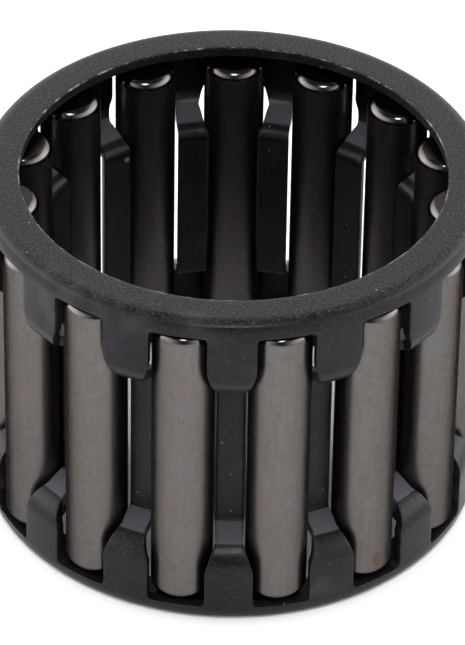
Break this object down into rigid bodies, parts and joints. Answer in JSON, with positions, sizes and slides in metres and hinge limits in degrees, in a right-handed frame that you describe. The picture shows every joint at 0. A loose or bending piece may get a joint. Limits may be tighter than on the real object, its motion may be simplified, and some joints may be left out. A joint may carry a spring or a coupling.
{
  "type": "needle roller and cage assembly",
  "caption": "Radial needle roller bearing without rings: long steel rollers held in a blackened M-section steel cage.",
  "frame": {"origin": "on the bearing axis, at the lower end face of the cage", "axes": "+Z along the bearing axis; -Y through the cage tab between roller_01 and roller_15; the rollers count round from -Y towards +X"},
  "size_m": [0.0328, 0.0329, 0.024],
  "materials": {
    "cage_steel": "satin black-oxidised steel",
    "roller_steel": "fine-ground hardened steel with polished end corners"
  },
  "bodies": {
    "cage": {"cage": "cage_steel"},
    "roller_01": {"roller_01": "roller_steel"},
    "roller_02": {"roller_02": "roller_steel"},
    "roller_03": {"roller_03": "roller_steel"},
    "roller_04": {"roller_04": "roller_steel"},
    "roller_05": {"roller_05": "roller_steel"},
    "roller_06": {"roller_06": "roller_steel"},
    "roller_07": {"roller_07": "roller_steel"},
    "roller_08": {"roller_08": "roller_steel"},
    "roller_09": {"roller_09": "roller_steel"},
    "roller_10": {"roller_10": "roller_steel"},
    "roller_11": {"roller_11": "roller_steel"},
    "roller_12": {"roller_12": "roller_steel"},
    "roller_13": {"roller_13": "roller_steel"},
    "roller_14": {"roller_14": "roller_steel"},
    "roller_15": {"roller_15": "roller_steel"}
  },
  "joints": [
    {"name": "roller_01_spin", "type": "hinge", "parent": "cage", "child": "roller_01", "pos_m": [0.00301, -0.01418, 0.012], "axis": [0, 0, 1], "continuous": true},
    {"name": "roller_02_spin", "type": "hinge", "parent": "cage", "child": "roller_02", "pos_m": [0.00852, -0.01173, 0.012], "axis": [0, 0, 1], "continuous": true},
    {"name": "roller_03_spin", "type": "hinge", "parent": "cage", "child": "roller_03", "pos_m": [0.01256, -0.00725, 0.012], "axis": [0, 0, 1], "continuous": true},
    {"name": "roller_04_spin", "type": "hinge", "parent": "cage", "child": "roller_04", "pos_m": [0.01442, -0.00152, 0.012], "axis": [0, 0, 1], "continuous": true},
    {"name": "roller_05_spin", "type": "hinge", "parent": "cage", "child": "roller_05", "pos_m": [0.01379, 0.00448, 0.012], "axis": [0, 0, 1], "continuous": true},
    {"name": "roller_06_spin", "type": "hinge", "parent": "cage", "child": "roller_06", "pos_m": [0.01078, 0.0097, 0.012], "axis": [0, 0, 1], "continuous": true},
    {"name": "roller_07_spin", "type": "hinge", "parent": "cage", "child": "roller_07", "pos_m": [0.0059, 0.01325, 0.012], "axis": [0, 0, 1], "continuous": true},
    {"name": "roller_08_spin", "type": "hinge", "parent": "cage", "child": "roller_08", "pos_m": [0, 0.0145, 0.012], "axis": [0, 0, 1], "continuous": true},
    {"name": "roller_09_spin", "type": "hinge", "parent": "cage", "child": "roller_09", "pos_m": [-0.0059, 0.01325, 0.012], "axis": [0, 0, 1], "continuous": true},
    {"name": "roller_10_spin", "type": "hinge", "parent": "cage", "child": "roller_10", "pos_m": [-0.01078, 0.0097, 0.012], "axis": [0, 0, 1], "continuous": true},
    {"name": "roller_11_spin", "type": "hinge", "parent": "cage", "child": "roller_11", "pos_m": [-0.01379, 0.00448, 0.012], "axis": [0, 0, 1], "continuous": true},
    {"name": "roller_12_spin", "type": "hinge", "parent": "cage", "child": "roller_12", "pos_m": [-0.01442, -0.00152, 0.012], "axis": [0, 0, 1], "continuous": true},
    {"name": "roller_13_spin", "type": "hinge", "parent": "cage", "child": "roller_13", "pos_m": [-0.01256, -0.00725, 0.012], "axis": [0, 0, 1], "continuous": true},
    {"name": "roller_14_spin", "type": "hinge", "parent": "cage", "child": "roller_14", "pos_m": [-0.00852, -0.01173, 0.012], "axis": [0, 0, 1], "continuous": true},
    {"name": "roller_15_spin", "type": "hinge", "parent": "cage", "child": "roller_15", "pos_m": [-0.00301, -0.01418, 0.012], "axis": [0, 0, 1], "continuous": true}
  ]
}
